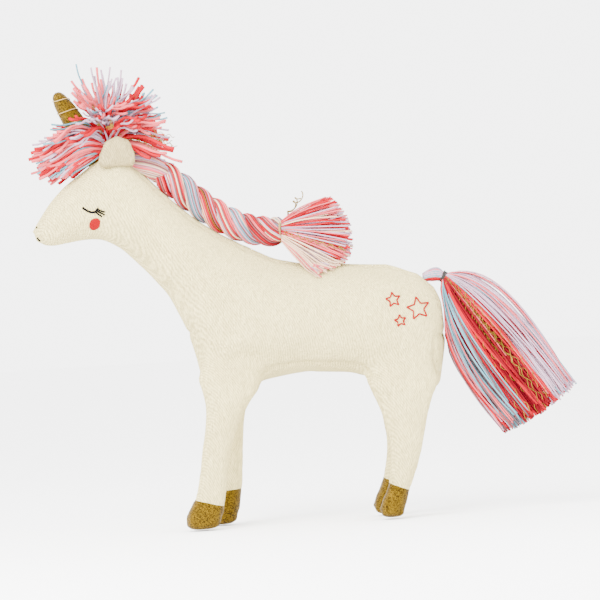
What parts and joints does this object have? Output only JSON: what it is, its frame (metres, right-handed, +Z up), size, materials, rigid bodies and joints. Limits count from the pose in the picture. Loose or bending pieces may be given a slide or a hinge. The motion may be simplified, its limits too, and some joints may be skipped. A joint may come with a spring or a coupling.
{
  "type": "plush unicorn",
  "caption": "Standing stuffed unicorn with a yarn forelock, plaited mane, yarn tail, soft horn, floppy ears and hooves in gold cloth.",
  "frame": {"origin": "on the floor, under the middle of the box of the whole toy", "axes": "+X from head to tail, +Y to the toy's right side, +Z up"},
  "size_m": [0.4204, 0.079, 0.352],
  "materials": {
    "cream_cloth": "matte cream crepe cotton",
    "gold_cloth": "gold knit with a metallic thread",
    "stuffing": "loose polyester filling",
    "coral_thread": "matte coral embroidery thread",
    "coral_yarn": "soft coral yarn with pink and white strands",
    "lilac_yarn": "soft lilac-white yarn",
    "blue_yarn": "soft pale blue yarn",
    "pink_yarn": "soft pink yarn",
    "black_thread": "matte black embroidery thread",
    "pale_thread": "pale thread with a slight sheen"
  },
  "bodies": {
    "torso": {"left_side_panel": "cream_cloth", "right_side_panel": "cream_cloth", "top_gusset": "cream_cloth", "belly_gusset": "cream_cloth", "torso_fill": "stuffing", "forelock": "coral_yarn", "left_eye": "black_thread", "right_eye": "black_thread", "left_cheek": "coral_thread", "right_cheek": "coral_thread", "left_nostril": "black_thread", "right_nostril": "black_thread", "left_mouth": "black_thread", "right_mouth": "black_thread", "middle_star": "coral_thread", "large_star": "coral_thread", "small_star": "coral_thread"},
    "front_left_leg": {"front_left_leg_outer": "cream_cloth", "front_left_leg_inner": "cream_cloth", "front_left_leg_fill": "stuffing", "front_left_hoof_outer": "gold_cloth", "front_left_hoof_inner": "gold_cloth"},
    "front_right_leg": {"front_right_leg_outer": "cream_cloth", "front_right_leg_inner": "cream_cloth", "front_right_leg_fill": "stuffing", "front_right_hoof_outer": "gold_cloth", "front_right_hoof_inner": "gold_cloth"},
    "rear_left_leg": {"rear_left_leg_outer": "cream_cloth", "rear_left_leg_inner": "cream_cloth", "rear_left_leg_fill": "stuffing", "rear_left_hoof_outer": "gold_cloth", "rear_left_hoof_inner": "gold_cloth"},
    "rear_right_leg": {"rear_right_leg_outer": "cream_cloth", "rear_right_leg_inner": "cream_cloth", "rear_right_leg_fill": "stuffing", "rear_right_hoof_outer": "gold_cloth", "rear_right_hoof_inner": "gold_cloth"},
    "left_ear": {"left_ear_front": "cream_cloth", "left_ear_back": "cream_cloth"},
    "right_ear": {"right_ear_front": "cream_cloth", "right_ear_back": "cream_cloth"},
    "horn": {"horn_cover": "gold_cloth", "horn_fill": "stuffing", "horn_thread": "pale_thread"},
    "mane_root": {"mane_gather": "pink_yarn"},
    "plait": {"mane_strand_1": "coral_yarn", "mane_strand_2": "lilac_yarn", "mane_strand_3": "blue_yarn", "mane_tie": "pale_thread", "mane_gold_thread": "gold_cloth"},
    "tassel": {"mane_tassel": "pink_yarn"},
    "tail_root": {"tail_loop": "coral_yarn", "tail_tie": "pale_thread"},
    "tail": {"tail_skirt": "coral_yarn"}
  },
  "joints": [
    {"name": "front_left_hip_flex", "type": "hinge", "parent": "torso", "child": "front_left_leg", "pos_m": [-0.06714, -0.0235, 0.07651], "axis": [0, 1, 0], "range_deg": [-20, 20], "stiffness_Nm_per_rad": 1},
    {"name": "front_right_hip_flex", "type": "hinge", "parent": "torso", "child": "front_right_leg", "pos_m": [-0.06714, 0.0235, 0.07651], "axis": [0, 1, 0], "range_deg": [-20, 20], "stiffness_Nm_per_rad": 1},
    {"name": "rear_left_hip_flex", "type": "hinge", "parent": "torso", "child": "rear_left_leg", "pos_m": [0.07595, -0.0235, 0.06652], "axis": [0, 1, 0], "range_deg": [-20, 20], "stiffness_Nm_per_rad": 1},
    {"name": "rear_right_hip_flex", "type": "hinge", "parent": "torso", "child": "rear_right_leg", "pos_m": [0.07595, 0.0235, 0.06652], "axis": [0, 1, 0], "range_deg": [-20, 20], "stiffness_Nm_per_rad": 1},
    {"name": "left_ear_flop", "type": "hinge", "parent": "torso", "child": "left_ear", "pos_m": [-0.13433, -0.0195, 0.28565], "axis": [0.9397, 0.342, 0], "range_deg": [-12, 30], "stiffness_Nm_per_rad": 0.02},
    {"name": "right_ear_flop", "type": "hinge", "parent": "torso", "child": "right_ear", "pos_m": [-0.13433, 0.0195, 0.28565], "axis": [-0.9397, 0.342, 0], "range_deg": [-12, 30], "stiffness_Nm_per_rad": 0.02},
    {"name": "horn_flex", "type": "hinge", "parent": "torso", "child": "horn", "pos_m": [-0.15229, 0, 0.2941], "axis": [0, 1, 0], "range_deg": [-10, 10], "stiffness_Nm_per_rad": 0.05},
    {"name": "mane_swing", "type": "hinge", "parent": "torso", "child": "mane_root", "pos_m": [-0.10008, 0, 0.27995], "axis": [0.66, 0, 0.7513], "range_deg": [-30, 0]},
    {"name": "plait_lift", "type": "hinge", "parent": "mane_root", "child": "plait", "pos_m": [-0.08642, 0, 0.26599], "axis": [0, -1, 0], "range_deg": [0, 70]},
    {"name": "tassel_lift", "type": "hinge", "parent": "plait", "child": "tassel", "pos_m": [-0.00289, -0.00725, 0.22753], "axis": [0, -1, 0], "range_deg": [0, 55]},
    {"name": "tail_swing", "type": "hinge", "parent": "torso", "child": "tail_root", "pos_m": [0.10407, 0, 0.18666], "axis": [0, 0, 1], "range_deg": [-30, 30]},
    {"name": "tail_lift", "type": "hinge", "parent": "tail_root", "child": "tail", "pos_m": [0.11739, 0, 0.17833], "axis": [0, -1, 0], "range_deg": [0, 50]}
  ]
}
